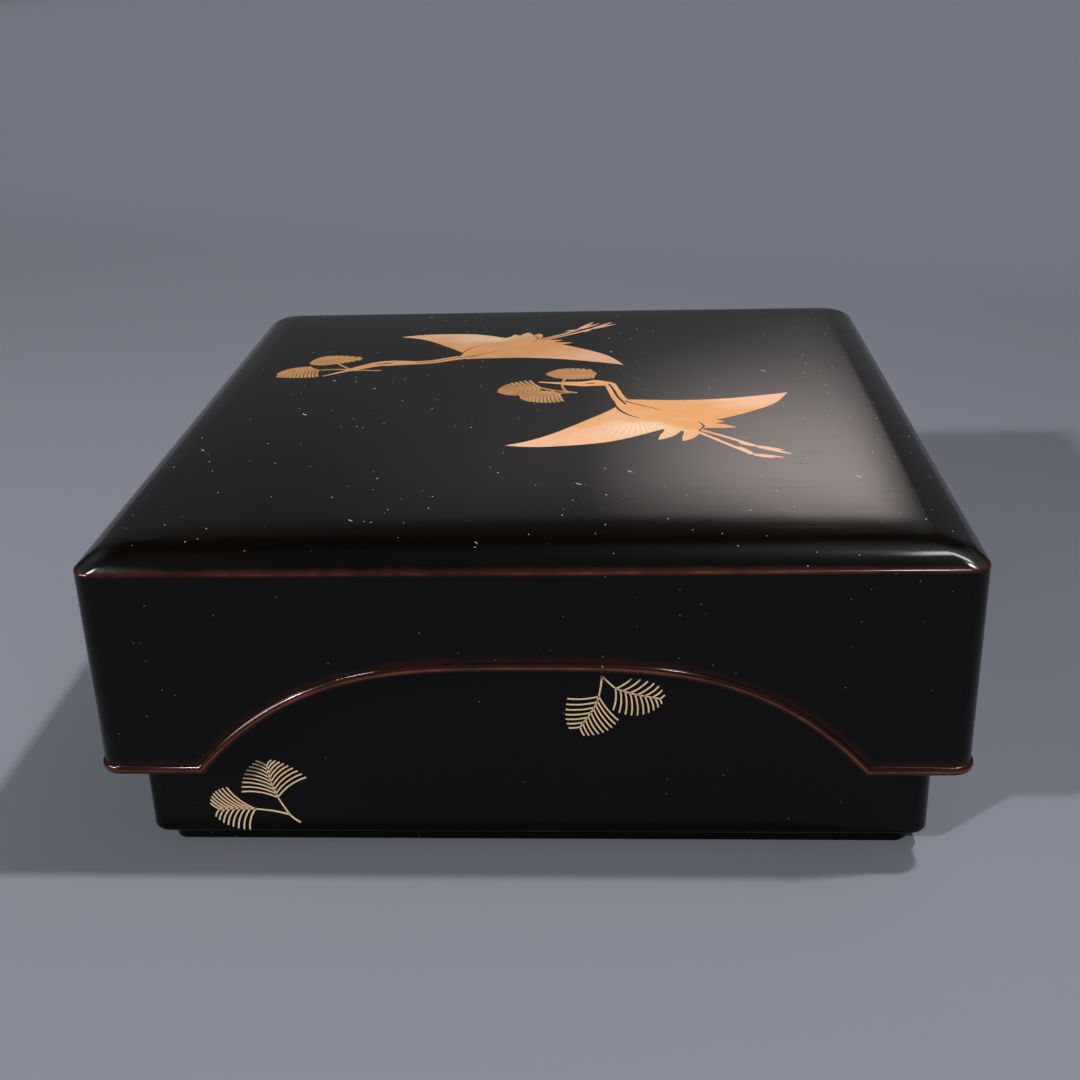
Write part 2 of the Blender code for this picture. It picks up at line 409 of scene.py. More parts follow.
def make_lacquer_group():
    inputs = {
        "Worn": ("Float", 0.0),
        "Black": ("Color", (0.003, 0.003, 0.003, 1.0)),
        "Undercoat": ("Color", (0.03, 0.006, 0.003, 1.0)),
        "Crest": ("Color", (0.17, 0.07, 0.03, 1.0)),
        "Gloss": ("Float", 0.1),
    }
    outputs = {"Colour": "Color", "Roughness": "Float", "Height": "Float"}
    group, given, result = new_group("polished_lacquer", inputs, outputs)
    place = object_place(group)

    broken = scale_and_add(group, noise(group, place, *RUB_GRAIN), RUB_UNEVEN, -RUB_UNEVEN / 2)
    patchy = scale_and_add(group, noise(group, place, *RUB_PATCHES), RUB_UNEVEN, -RUB_UNEVEN / 2)
    uneven = math_node(group, "ADD", broken, patchy)
    present = math_node(group, "GREATER_THAN", given["Worn"], LEAST_WORN)
    under = smooth_step(group, math_node(group, "ADD", given["Worn"], uneven), *SHOWS_UNDERCOAT)
    rubbed = product(group, under, present)
    on_crest = smooth_step(group, scale_and_add(group, uneven, CREST_UNEVEN, given["Worn"]), *SHOWS_CREST)

    black = mix_colours(group, noise(group, place, *BLACK_CLOUDS), given["Black"], WARM_BLACK)
    worn_colour = mix_colours(group, rubbed, black, given["Undercoat"])
    feed(group, result["Colour"], mix_colours(group, on_crest, worn_colour, given["Crest"]))

    hairlines = noise(group, stretched(group, place, HAIRLINE_STRETCH), 1.0, 2.0)
    lined = scale_and_add(group, smooth_step(group, hairlines, *HAIRLINE_DEPTH), DULLED_BY, given["Gloss"])
    feed(group, result["Roughness"], scale_and_add(group, rubbed, DULLED_BY, lined))

    grain = noise(group, place, *POLISH_GRAIN)
    waves = noise(group, place, *POLISH_WAVES)
    feed(group, result["Height"], scale_and_add(group, grain, GRAIN_SHARE, waves))
    return group


lacquer_group = make_lacquer_group()
print("group", lacquer_group.name, "has", len(lacquer_group.nodes), "nodes")

# %% Node group for settled dust
SPECK_STRETCH = (400.0, 400.0, 400.0)
SPECK_SIZES = (0.02, 0.06)  # the smallest, and how much larger the largest is, as shares of a cell
LINT_STRETCH = (40.0, 260.0, 260.0)
LINT_SIZES = (0.02, 0.025)
LINT_TURN = (0, 0, 0.7)
DUST_FACING = (-0.2, 0.6)


def speck_cells(group, place, chance_below, smallest, spread):
    """Cells of noise, some of which hold one speck at their middle."""
    cells = add_node(group, "ShaderNodeTexVoronoi", {"Vector": place, "Scale": 1.0})
    chance = add_node(group, "ShaderNodeSeparateColor", {0: cells.outputs["Color"]}).outputs
    size = scale_and_add(group, chance[1], spread, smallest)
    inside = math_node(group, "LESS_THAN", cells.outputs["Distance"], size)
    return product(group, math_node(group, "LESS_THAN", chance[0], chance_below), inside)


def make_dust_group():
    group, given, result = new_group("settled_dust", {"Share": ("Float", 0.3)}, {"Specks": "Float"})
    place = object_place(group)
    specks = speck_cells(group, stretched(group, place, SPECK_STRETCH), given["Share"], *SPECK_SIZES)
    turned = add_node(group, "ShaderNodeMapping", {"Vector": place, "Rotation": LINT_TURN}).outputs[0]
    lint = speck_cells(group, stretched(group, turned, LINT_STRETCH), given["Share"], *LINT_SIZES)
    both = math_node(group, "MAXIMUM", specks, lint)
    normal = add_node(group, "ShaderNodeNewGeometry").outputs["Normal"]
    upward = add_node(group, "ShaderNodeSeparateXYZ", {0: normal}).outputs["Z"]
    feed(group, result["Specks"], product(group, both, smooth_step(group, upward, *DUST_FACING)))
    return group


dust_group = make_dust_group()
print("group", dust_group.name, "has", len(dust_group.nodes), "nodes")

# %% [markdown]
# One function turns the two groups into a finished lacquer. The shader itself stays in the material, with
# its constants set straight on its sockets. The bump is tiny: a few hundredths of a millimetre over some
# centimetres are enough to make a reflection swim.

# %% Lacquer materials
BLACK = (0.0010, 0.0009, 0.0009, 1.0)
UNDERCOAT = (0.026, 0.0045, 0.0022, 1.0)
CREST = (0.15, 0.052, 0.024, 1.0)
DUST_COLOUR = (0.55, 0.55, 0.55, 1.0)
DUST_ROUGHNESS = 0.9
LACQUER_IOR = 1.42
LACQUER_SPECULAR = 0.28
WAVE_HEIGHT = 0.00003


def make_lacquer(name, gloss, dust_share):
    material = bpy.data.materials.new(name)
    material.use_nodes = True
    tree = material.node_tree
    shader = tree.nodes["Principled BSDF"]
    coats = {"Worn": stored_value(tree, "worn"), "Black": BLACK, "Undercoat": UNDERCOAT, "Crest": CREST}
    lacquer = place_group(tree, lacquer_group, {"Gloss": gloss, **coats})
    specks = place_group(tree, dust_group, {"Share": dust_share})["Specks"]
    roughness = math_node(tree, "MAXIMUM", lacquer["Roughness"], product(tree, specks, DUST_ROUGHNESS))
    feed(tree, shader.inputs["Base Color"], mix_colours(tree, specks, lacquer["Colour"], DUST_COLOUR))
    feed(tree, shader.inputs["Roughness"], roughness)
    add_bump(tree, shader, lacquer["Height"], 1.0, WAVE_HEIGHT)
    shader.inputs["IOR"].default_value = LACQUER_IOR
    shader.inputs["Specular IOR Level"].default_value = LACQUER_SPECULAR
    return material


lid_lacquer = make_lacquer("lid_lacquer", gloss=0.10, dust_share=0.5)
body_lacquer = make_lacquer("body_lacquer", gloss=0.10, dust_share=0.2)
print("materials:", lid_lacquer.name, body_lacquer.name)

# %% [markdown]
# The shapes of both pieces follow one rule: a rounded rectangle is carried along a profile. A loft does that.
# It takes a list of rings with the same number of points and skins them. Subdividing a cube could come
# close, but the arch in the wall and the bead along it need points exactly on their edges.
# Each ring also carries how worn the lacquer is there, which the material reads as an attribute.

# %% Lofting tools
CORNER_STEPS = 12
SIDE_STEPS = 40


def corner_arc(center_x, center_y, radius, start_degrees):
    """A quarter of a circle seen from above, anticlockwise from the given direction."""
    angles = [math.radians(start_degrees + 90 * step / CORNER_STEPS) for step in range(CORNER_STEPS + 1)]
    return [(center_x + radius * math.cos(angle), center_y + radius * math.sin(angle)) for angle in angles]


def rounded_rectangle(half_width, half_depth, radius, across=()):
    """Anticlockwise from the front left. Across holds the x of extra points on its front and its back."""
    x = half_width - radius
    y = half_depth - radius
    along = [y * (2 * step / SIDE_STEPS - 1) for step in range(1, SIDE_STEPS)]
    outline = [(station, -half_depth) for station in across]
    outline += corner_arc(x, -y, radius, 270)
    outline += [(half_width, station) for station in along]
    outline += corner_arc(x, y, radius, 0)
    outline += [(station, half_depth) for station in reversed(across)]
    outline += corner_arc(-x, y, radius, 90)
    outline += [(-half_width, station) for station in reversed(along)]
    outline += corner_arc(-x, -y, radius, 180)
    return outline


def arc_profile(inset, height, radius, start, end, steps):
    """(inset, height) along an arc about that point. 0 faces outwards and a quarter turn faces up."""
    angles = [start + (end - start) * step / steps for step in range(steps + 1)]
    return [(inset - radius * math.cos(angle), height + radius * math.sin(angle)) for angle in angles]


def wear_at(distance, reach):
    """How worn the lacquer is this far from a rubbed edge."""
    return math.exp(-((distance / reach) ** 2))


def skin(name, rings, material, middle=None):
    """Skins rings of points, closes both ends and stores the wear. Rings are (points, wear) pairs."""
    sculpt = bmesh.new()
    worn = sculpt.verts.layers.float.new("worn")
    rows = []
    for points, wear in rings:
        rows.append([sculpt.verts.new(point) for point in points])
        for vertex in rows[-1]:
            vertex[worn] = wear
    count = len(rows[0])
    for lower, upper in zip(rows, rows[1:]):
        for index in range(count):
            following = (index + 1) % count
            sculpt.faces.new((lower[index], lower[following], upper[following], upper[index]))
    sculpt.faces.new(reversed(rows[0]))
    if middle is None:
        sculpt.faces.new(rows[-1])
    else:
        tip = sculpt.verts.new(middle)
        for index in range(count):
            sculpt.faces.new((rows[-1][index], rows[-1][(index + 1) % count], tip))
    return finish_mesh(name, sculpt, material)


def finish_mesh(name, sculpt, material, sharp_degrees=35):
    mesh = bpy.data.meshes.new(name)
    sculpt.to_mesh(mesh)
    sculpt.free()
    mesh.shade_smooth()
    mesh.set_sharp_from_angle(angle=math.radians(sharp_degrees))
    mesh.materials.append(material)
    piece = bpy.data.objects.new(name, mesh)
    bpy.context.scene.collection.objects.link(piece)
    print(name, "has", len(mesh.vertices), "vertices and", len(mesh.polygons), "faces")
    return piece


# %% [markdown]
# The lid is the piece that gives the box its character. Its walls are upright, a soft shoulder leads over to
# a top that is crowned by less than two millimetres, and the front and back walls rise in a flat arch. A
# half-round bead follows the whole lower edge. Real makers cut the arch with a saw, glued the bead on, and
# buried the joint in lacquer. Here the lower edge is a curve, and every ring near it is offset from it at
# a right angle, so the bead keeps its height round the arch.

# %% Sizes of the lid
GOLD_FILM = 0.05 * MM
BEAD_PROUD = 0.7 * MM
BEAD_HEIGHT = 2.2 * MM
BEAD_WEAR = 0.55  # on its two edges
CREST_WEAR = 0.45  # how much more on its crest
LIP_WEAR = 0.3
LID_WIDTH = lid_high.x - lid_low.x - 2 * BEAD_PROUD
LID_DEPTH = lid_high.y - lid_low.y - 2 * BEAD_PROUD
LIP_HEIGHT = lid_low.z
LID_CORNER_RADIUS = 5.2 * MM
LID_WALL_HEIGHT = 53.1 * MM
LID_WALL = 5.5 * MM
LID_INNER_CORNER_RADIUS = 3.0 * MM
LID_TOP_THICKNESS = 6.0 * MM
ARRIS_RADIUS = 0.8 * MM
SHOULDER_WIDTH = 11.3 * MM
SHOULDER_RISE = 4.3 * MM
SHOULDER_CORNER_RADIUS = 6.5 * MM
ARCH_HALF_WIDTH = LID_WIDTH / 2 - 25.5 * MM
ARCH_RISE = 28.0 * MM
ARCH_POWER = 3.3
ARRIS_HEIGHT = LIP_HEIGHT + LID_WALL_HEIGHT
TOP_HEIGHT = ARRIS_HEIGHT + SHOULDER_RISE
CROWN_RISE = lid_high.z - TOP_HEIGHT - GOLD_FILM
EASED_FALL = 0.2 * MM
ARCH_STEPS = 100
BEAD_STEPS = 10
ARRIS_STEPS = 5
SHOULDER_STEPS = 14
CROWN_RINGS = 48
print("lid", round(LID_WIDTH / MM), "x", round(LID_DEPTH / MM), "mm, crown", round(CROWN_RISE / MM, 2), "mm")

# %% The lower edge of the lid, with its arches
ARCH_STATIONS = [ARCH_HALF_WIDTH * (2 * step / ARCH_STEPS - 1) for step in range(ARCH_STEPS + 1)]


def arch_lift(x):
    """How far the lower edge of the wall is lifted at x."""
    return ARCH_RISE * (1 - abs(x / ARCH_HALF_WIDTH) ** ARCH_POWER)


def across_bead(x):
    """The direction in the wall from its lower edge across the bead, mitred at the two ends of the arch."""
    reach = abs(x / ARCH_HALF_WIDTH)
    slope = math.copysign(ARCH_RISE * ARCH_POWER / ARCH_HALF_WIDTH * reach ** (ARCH_POWER - 1), x)
    length = math.hypot(slope, 1)
    along, up = slope / length, 1 / length
    return (along / (1 + up), 1.0) if math.isclose(reach, 1) else (along, up)


def lid_plan(inset, radius, spread=1.0):
    """The lid's outline, this far inside its walls. Spread draws the stations of the arch together."""
    across = [x * spread for x in ARCH_STATIONS]
    return rounded_rectangle(LID_WIDTH / 2 - inset, LID_DEPTH / 2 - inset, radius, across)


def lip_ring(inset, radius, rise):
    """A ring that follows the lower edge and its arches, this far above the edge."""
    arch = [(arch_lift(x), across_bead(x)) for x in ARCH_STATIONS]
    straight = [(0.0, (0.0, 1.0))] * (2 * (CORNER_STEPS + 1) + SIDE_STEPS - 1)
    edge = arch + straight + arch[::-1] + straight
    return [
        (x + rise * along, y, LIP_HEIGHT + lift + rise * up)
        for (x, y), (lift, (along, up)) in zip(lid_plan(inset, radius), edge)
    ]


def bead_rings():
    """Over the half-round bead. The lacquer is rubbed most on its crest."""
    rings = []
    for step in range(BEAD_STEPS + 1):
        angle = math.pi * (step / BEAD_STEPS - 0.5)
        proud = BEAD_PROUD * math.cos(angle)
        rise = BEAD_HEIGHT * (1 + math.sin(angle)) / 2
        wear = BEAD_WEAR + CREST_WEAR * math.cos(angle) ** 4
        rings.append((lip_ring(-proud, LID_CORNER_RADIUS + proud, rise), wear))
    return rings


# %% The lid's walls, shoulder and crown
RUB_ABOVE_BEAD = 2.2 * MM
RUB_AT_ARRIS = 1.2 * MM
RUB_UNDER_ARRIS = 0.5 * MM
WEAR_ABOVE_BEAD = 0.6
ARRIS_WEAR = 0.92


def wall_rings():
    """The upright wall, with close rings where it is rubbed: just above the bead and under the arris."""
    rings = []
    for above in (0.5 * MM, 1.2 * MM, 2.2 * MM, 3.6 * MM):
        points = lip_ring(0, LID_CORNER_RADIUS, BEAD_HEIGHT + above)
        rings.append((points, WEAR_ABOVE_BEAD * wear_at(above, RUB_ABOVE_BEAD)))
    low = rings[-1][0]
    high = [(x, y, ARRIS_HEIGHT - 4 * MM) for x, y in lid_plan(0, LID_CORNER_RADIUS)]
    for share in (0.3, 0.65):
        middle = [tuple(Vector(a).lerp(Vector(b), share)) for a, b in zip(low, high)]
        rings.append((middle, 0.0))
    for below in (4.0 * MM, 2.0 * MM, 1.4 * MM, 1.05 * MM):
        points = [(x, y, ARRIS_HEIGHT - below) for x, y in lid_plan(0, LID_CORNER_RADIUS)]
        rings.append((points, wear_at(below, RUB_UNDER_ARRIS)))
    return rings


def eased(x, y):
    """How far the top is lowered here, so that it turns gently into the shoulder over one shoulder width."""
    past_x = max(abs(x) - (LID_WIDTH / 2 - 2 * SHOULDER_WIDTH), 0)
    past_y = max(abs(y) - (LID_DEPTH / 2 - 2 * SHOULDER_WIDTH), 0)
    share = max(2 - math.hypot(past_x, past_y) / SHOULDER_WIDTH, 0)
    if share < 1:
        return EASED_FALL * share * (4 - 3 * share)
    return EASED_FALL * (2 - share) ** 2


def crown(x, y):
    """How far the crown lifts the lid's top at this place."""
    return CROWN_RISE * (1 - (2 * x / LID_WIDTH) ** 2) * (1 - (2 * y / LID_DEPTH) ** 2) - eased(x, y)


def shoulder_profile():
    """(inset, height) over the rounded arris and up the shoulder, which ends level at its inner edge."""
    radius = (SHOULDER_WIDTH**2 + SHOULDER_RISE**2) / (2 * SHOULDER_RISE)
    center_height = TOP_HEIGHT - radius
    tangent = math.acos((SHOULDER_WIDTH - ARRIS_RADIUS) / (radius - ARRIS_RADIUS))
    arris_height = center_height + (radius - ARRIS_RADIUS) * math.sin(tangent)
    arris = arc_profile(ARRIS_RADIUS, arris_height, ARRIS_RADIUS, 0, tangent, ARRIS_STEPS)
    shoulder = arc_profile(SHOULDER_WIDTH, center_height, radius, tangent, math.pi / 2, SHOULDER_STEPS)
    return arris + shoulder[1:]


def shoulder_rings():
    rings = []
    for inset, height in shoulder_profile():
        share = inset / SHOULDER_WIDTH
        radius = LID_CORNER_RADIUS + share * (SHOULDER_CORNER_RADIUS - LID_CORNER_RADIUS)
        spread = (LID_WIDTH / 2 - inset - radius) / (LID_WIDTH / 2 - LID_CORNER_RADIUS)
        points = [(x, y, height + crown(x, y)) for x, y in lid_plan(inset, radius, spread)]
        rings.append((points, ARRIS_WEAR * wear_at(inset, RUB_AT_ARRIS)))
    return rings


def crown_rings(rim):
    rings = []
    for step in range(1, CROWN_RINGS):
        share = 1 - step / CROWN_RINGS
        points = [(x * share, y * share, TOP_HEIGHT + crown(x * share, y * share)) for x, y, z in rim]
        rings.append((points, 0.0))
    return rings


def make_lid():
    """One shell, from its ceiling down the inside, round the bead and up over the top."""
    ceiling_height = TOP_HEIGHT - LID_TOP_THICKNESS
    ceiling = [(x, y, ceiling_height) for x, y in lid_plan(LID_WALL, LID_INNER_CORNER_RADIUS)]
    inner_lip = lip_ring(LID_WALL, LID_INNER_CORNER_RADIUS, 0)
    shoulder = shoulder_rings()
    rings = [(ceiling, 0.0), (inner_lip, LIP_WEAR)] + bead_rings() + wall_rings() + shoulder
    rings += crown_rings(shoulder[-1][0])
    return skin("lid_shell", rings, lid_lacquer, (0, 0, TOP_HEIGHT + crown(0, 0)))


lid_shell = make_lid()

# %% [markdown]
# The tray is plainer. Its upper half is hidden in the lid, but it is hollow all the way to the floor, and its
# edges are eased where the cloth of the polisher went over them. The foot is a narrow frame, set back so
# that the box seems to float.

# %% The body
BODY_WIDTH = body_high.x - body_low.x
BODY_DEPTH = body_high.y - body_low.y
BODY_HEIGHT = body_high.z
BODY_WALL = 5.0 * MM
BODY_FLOOR = 5.0 * MM
BODY_CORNER_RADIUS = 4.5 * MM
BODY_INNER_CORNER_RADIUS = 3.0 * MM
BODY_EDGE_RADIUS = 0.8 * MM
FOOT_HEIGHT = 4.7 * MM
FOOT_INSET = 4.2 * MM
FOOT_WIDTH = 6.0 * MM
FOOT_CORNER_RADIUS = 3.5 * MM
FOOT_INNER_CORNER_RADIUS = 2.5 * MM
EDGE_STEPS = 4
RUB_AT_BODY_EDGE = 0.9 * MM
LOW_EDGE_WEAR = 0.3
RIM_WEAR = 0.5


def body_ring(inset, height, radius, wear=0.0):
    outline = rounded_rectangle(BODY_WIDTH / 2 - inset, BODY_DEPTH / 2 - inset, radius)
    return [(x, y, height) for x, y in outline], wear


def body_edge(inset, height, start_degrees, radius, wear):
    """A small rounding of one edge, about a point inside the wall."""
    start = math.radians(start_degrees)
    profile = arc_profile(inset, height, BODY_EDGE_RADIUS, start, start + math.pi / 2, EDGE_STEPS)
    return [body_ring(at_inset, at_height, radius, wear) for at_inset, at_height in profile]


def make_body():
    """From the hollow under the foot, up the outside, over the rim and down to the floor."""
    outer = BODY_CORNER_RADIUS
    inner = BODY_INNER_CORNER_RADIUS
    hollow = FOOT_INSET + FOOT_WIDTH
    rings = [
        body_ring(hollow, FOOT_HEIGHT, FOOT_INNER_CORNER_RADIUS),
        body_ring(hollow, 0, FOOT_INNER_CORNER_RADIUS),
        body_ring(FOOT_INSET, 0, FOOT_CORNER_RADIUS),
        body_ring(FOOT_INSET, FOOT_HEIGHT, FOOT_CORNER_RADIUS),
    ]
    rings += body_edge(BODY_EDGE_RADIUS, FOOT_HEIGHT + BODY_EDGE_RADIUS, -90, outer, LOW_EDGE_WEAR)
    for above in (1.4 * MM, 2.2 * MM, 4.0 * MM):
        wear = LOW_EDGE_WEAR * wear_at(above - BODY_EDGE_RADIUS, RUB_AT_BODY_EDGE)
        rings.append(body_ring(0, FOOT_HEIGHT + above, outer, wear))
    rings.append(body_ring(0, BODY_HEIGHT - 3 * MM, outer))
    rim = BODY_HEIGHT - BODY_EDGE_RADIUS
    rings += body_edge(BODY_EDGE_RADIUS, rim, 0, outer, RIM_WEAR)
    rings += body_edge(BODY_WALL - BODY_EDGE_RADIUS, rim, 90, inner, RIM_WEAR)
    rings.append(body_ring(BODY_WALL, BODY_HEIGHT - 3 * MM, inner))
    rings.append(body_ring(BODY_WALL, FOOT_HEIGHT + BODY_FLOOR, inner))
    return skin("body_shell", rings, body_lacquer)


body_shell = make_body()

# %% [markdown]
# Gold is sprinkled as a powder into wet lacquer, so it is a film with a sharp edge, a few hundredths of a
# millimetre thick. Each figure is drawn as flat outlines, cut into triangles, and laid on the surface with a
# real thickness. That keeps its edge crisp from any distance, which a painted mask could not do without a
# large image.
# The powder is finer in some places than in others, so the gold runs from pale pink to deep orange. The mesh
# stores two numbers for this, along and across: where a point lies in the bird's own drawing. The material
# works out from them how near the body it is and which way the feathers run.

# %% Node group for sprinkled gold
GOLD_CLOUDS = (170.0, 4.0)  # each noise by its scale to a metre and its detail
GOLD_POWDER = (4200.0, 2.0)
CLOUD_SHARE = 1.2
POWDER_SHARE = 0.35
SMOOTHEST_GOLD = 0.32
POWDER_ROUGHENS = 0.25


def make_gold_group():
    inputs = {
        "Pale": ("Color", (0.9, 0.6, 0.4, 1.0)),
        "Deep": ("Color", (0.7, 0.35, 0.12, 1.0)),
        "Depth": ("Float", 0.5),
    }
    outputs = {"Colour": "Color", "Roughness": "Float", "Height": "Float"}
    group, given, result = new_group("sprinkled_gold", inputs, outputs)
    place = object_place(group)
    powder = noise(group, place, *GOLD_POWDER)
    middle_depth = math_node(group, "SUBTRACT", given["Depth"], CLOUD_SHARE / 2)
    varied = scale_and_add(group, noise(group, place, *GOLD_CLOUDS), CLOUD_SHARE, middle_depth)
    middle_tone = math_node(group, "SUBTRACT", varied, POWDER_SHARE / 2)
    grainy = scale_and_add(group, powder, POWDER_SHARE, middle_tone)
    feed(group, result["Colour"], mix_colours(group, grainy, given["Pale"], given["Deep"]))
    feed(group, result["Roughness"], scale_and_add(group, powder, POWDER_ROUGHENS, SMOOTHEST_GOLD))
    feed(group, result["Height"], powder)
    return group


gold_group = make_gold_group()
print("group", gold_group.name, "has", len(gold_group.nodes), "nodes")

# %% Gold materials
CRANE_PALE = (0.92, 0.53, 0.33, 1.0)
CRANE_DEEP = (0.80, 0.39, 0.14, 1.0)
STREAK_COLOUR = (0.99, 0.80, 0.54, 1.0)
PEARL_COLOUR = (0.90, 0.60, 0.36, 1.0)
LID_PINE = ((0.68, 0.37, 0.155, 1.0), (0.37, 0.165, 0.05, 1.0))
FRONT_PINE = ((0.97, 0.72, 0.46, 1.0), (0.72, 0.49, 0.25, 1.0))
# Painted shade: the far bird's gold is the near bird's gold darkened all over, for the weaker light and missing
# glow where it sits
FAR_PAINTED_SHADE = 0.78
GOLD_METALLIC = 0.35
FRONT_GOLD_METALLIC = 0.1
POWDER_BUMP = 0.4
POWDER_HEIGHT = 0.00002

# Places and distances below are in millimetres of the bird's own drawing. Where two numbers bound an effect,
# it starts at the first and is full at the second.
DEEP_ACROSS = (24.0, 5.0)
DEEP_ALONG = (-30.0, -16.0)
FORE_EDGE_ALONG = (5.0, 14.0)
FORE_EDGE_ACROSS = (40.0, 20.0)
FORE_EDGE_SHARE = 0.8
FEATHER_ROOT = (7.7, 7.9)  # where the feather shafts would meet
SHEEN_A_RADIAN = 9.0  # how fast the sheen changes from one feather to the next
SHEEN_A_MILLIMETRE = 0.05  # and along a feather
SHEEN_DETAIL = 3.0
SHAFTS_A_RADIAN = 62.0
SHAFT_EDGES = (-0.3, 0.8)
PEARLY_FROM_ROOT = (6.0, 10.5)
PEARLY_TO_TIP = (26.0, 12.0)
PEARLY_ALONG = (9.0, 2.0)
PEARLY_ACROSS = (8.5, 13.0)
PEARLY_SHARE = 0.8
STREAK_SHARE = 0.6


def start_gold(name, metallic):
    material = bpy.data.materials.new(name)
    material.use_nodes = True
    shader = material.node_tree.nodes["Principled BSDF"]
    shader.inputs["Metallic"].default_value = metallic
    return material, material.node_tree, shader


def tint(colour, shade):
    return (*(channel * shade for channel in colour[:3]), 1.0)


# Shade scales every colour of the gold down, which paints shade onto a bird that gets less light; 1 leaves it
# as it is
def make_crane_gold(name, shade):
    """Gold whose tone follows the wings, with pearly streaks that fan out like feather shafts."""
    material, tree, shader = start_gold(name, GOLD_METALLIC)
    along = stored_value(tree, "along")
    across = stored_value(tree, "across")
    beside_body = smooth_step(tree, math_node(tree, "ABSOLUTE", across), *DEEP_ACROSS)
    near_body = product(tree, beside_body, smooth_step(tree, along, *DEEP_ALONG))
    behind_edge = smooth_step(tree, along, *FORE_EDGE_ALONG)
    fore_edge = product(tree, behind_edge, smooth_step(tree, across, *FORE_EDGE_ACROSS), FORE_EDGE_SHARE)

    from_root = math_node(tree, "SUBTRACT", along, FEATHER_ROOT[0])
    beside_root = math_node(tree, "SUBTRACT", across, FEATHER_ROOT[1])
    ray = math_node(tree, "ARCTAN2", beside_root, from_root)
    square = scale_and_add(tree, from_root, from_root, product(tree, beside_root, beside_root))
    reach = math_node(tree, "SQRT", square)
    fanned = vector(tree, X=product(tree, ray, SHEEN_A_RADIAN), Y=product(tree, reach, SHEEN_A_MILLIMETRE))
    sheen = math_node(tree, "SUBTRACT", noise(tree, fanned, 1.0, SHEEN_DETAIL), 0.5)
    depth = math_node(tree, "ADD", math_node(tree, "MAXIMUM", near_body, fore_edge), sheen)
    tones = {"Pale": tint(CRANE_PALE, shade), "Deep": tint(CRANE_DEEP, shade)}
    gold = place_group(tree, gold_group, {"Depth": depth, **tones})

    shafts = smooth_step(tree, math_node(tree, "SINE", product(tree, ray, SHAFTS_A_RADIAN)), *SHAFT_EDGES)
    outwards = ((reach, PEARLY_FROM_ROOT), (reach, PEARLY_TO_TIP))
    sideways = ((along, PEARLY_ALONG), (across, PEARLY_ACROSS))
    patch = product(tree, *(smooth_step(tree, value, *ends) for value, ends in outwards + sideways))
    pearl = tint(PEARL_COLOUR, shade)
    pearly = mix_colours(tree, product(tree, patch, PEARLY_SHARE), gold["Colour"], pearl)
    streaks = product(tree, shafts, patch, STREAK_SHARE)
    feed(tree, shader.inputs["Base Color"], mix_colours(tree, streaks, pearly, tint(STREAK_COLOUR, shade)))
    feed(tree, shader.inputs["Roughness"], gold["Roughness"])
    add_bump(tree, shader, gold["Height"], POWDER_BUMP, POWDER_HEIGHT)
    return material


def make_plain_gold(name, pale, deep, metallic):
    material, tree, shader = start_gold(name, metallic)
    gold = place_group(tree, gold_group, {"Pale": pale, "Deep": deep, "Depth": 0.5})
    feed(tree, shader.inputs["Base Color"], gold["Colour"])
    feed(tree, shader.inputs["Roughness"], gold["Roughness"])
    return material


# The near bird keeps its full colour; the far one is the same gold with painted shade
near_gold = make_crane_gold("near_crane_gold", 1.0)
far_gold_painted_shade = make_crane_gold("far_crane_gold_painted_shade", FAR_PAINTED_SHADE)
lid_pine_gold = make_plain_gold("lid_pine_gold", *LID_PINE, GOLD_METALLIC)
front_pine_gold = make_plain_gold("front_pine_gold", *FRONT_PINE, FRONT_GOLD_METALLIC)
print("materials:", near_gold.name, far_gold_painted_shade.name, lid_pine_gold.name, front_pine_gold.name)

# %% [markdown]
# Drawing tools. A smooth path goes through a handful of points, as a brush would. A ribbon gives a path a
# width at each point, and a leaf swells between its root and its tip. Every figure is a list of such
# outlines.

# %% Drawing tools
PATH_STEPS = 10
LEAF_SWELL = (0.35, 1.0, 0.8, 0.05)  # shares of its width, from root to tip


def smooth_path(points):
    """A curve through the points, as closely spaced points. It leaves each along the line of its neighbours."""
    ends = [points[0]] + list(points) + [points[-1]]
    path = []
    for before, start, end, after in zip(ends, ends[1:], ends[2:], ends[3:]):
        for step in range(PATH_STEPS):
            t = step / PATH_STEPS
            weights = (
                (-t + 2 * t**2 - t**3) / 2,
                (2 - 5 * t**2 + 3 * t**3) / 2,
                (t + 4 * t**2 - 3 * t**3) / 2,
                (-(t**2) + t**3) / 2,
            )
            corners = (before, start, end, after)
            path.append(tuple(sum(w * c[axis] for w, c in zip(weights, corners)) for axis in range(2)))
    return path + [tuple(points[-1])]


def ribbon(points, widths):
    """The outline of a stroke along a smooth path. Widths are spread evenly along it."""
    path = smooth_path(points)
    left, right = [], []
    for index, (x, y) in enumerate(path):
        ahead = path[min(index + 1, len(path) - 1)]
        behind = path[max(index - 1, 0)]
        run = math.hypot(ahead[0] - behind[0], ahead[1] - behind[1])
        normal = ((behind[1] - ahead[1]) / run, (ahead[0] - behind[0]) / run)
        place = index / (len(path) - 1) * (len(widths) - 1)
        low = min(int(place), len(widths) - 2)
        half = (widths[low] + (widths[low + 1] - widths[low]) * (place - low)) / 2
        left.append((x + normal[0] * half, y + normal[1] * half))
        right.append((x - normal[0] * half, y - normal[1] * half))
    return left + right[::-1]


def leaf(root, tip, width, bend=0.0):
    """A slim leaf from root to tip, bent sideways by a share of its length."""
    run = (tip[0] - root[0], tip[1] - root[1])
    middle = (root[0] + run[0] / 2 - run[1] * bend, root[1] + run[1] / 2 + run[0] * bend)
    return ribbon([root, middle, tip], [share * width for share in LEAF_SWELL])


# %% [markdown]
# A film is made from outlines that may overlap: a constrained triangulation joins them into one flat sheet
# and adds points inside, so that the sheet can follow the crown of the lid. Then every point is doubled,
# one on the lacquer and one a film's thickness above it, and the border is closed with a thin wall.

# %% From outlines to a film
SUNK_SHARE = 0.2  # the share of its thickness that a film reaches down into the lacquer
SAME_POINT = 1e-6


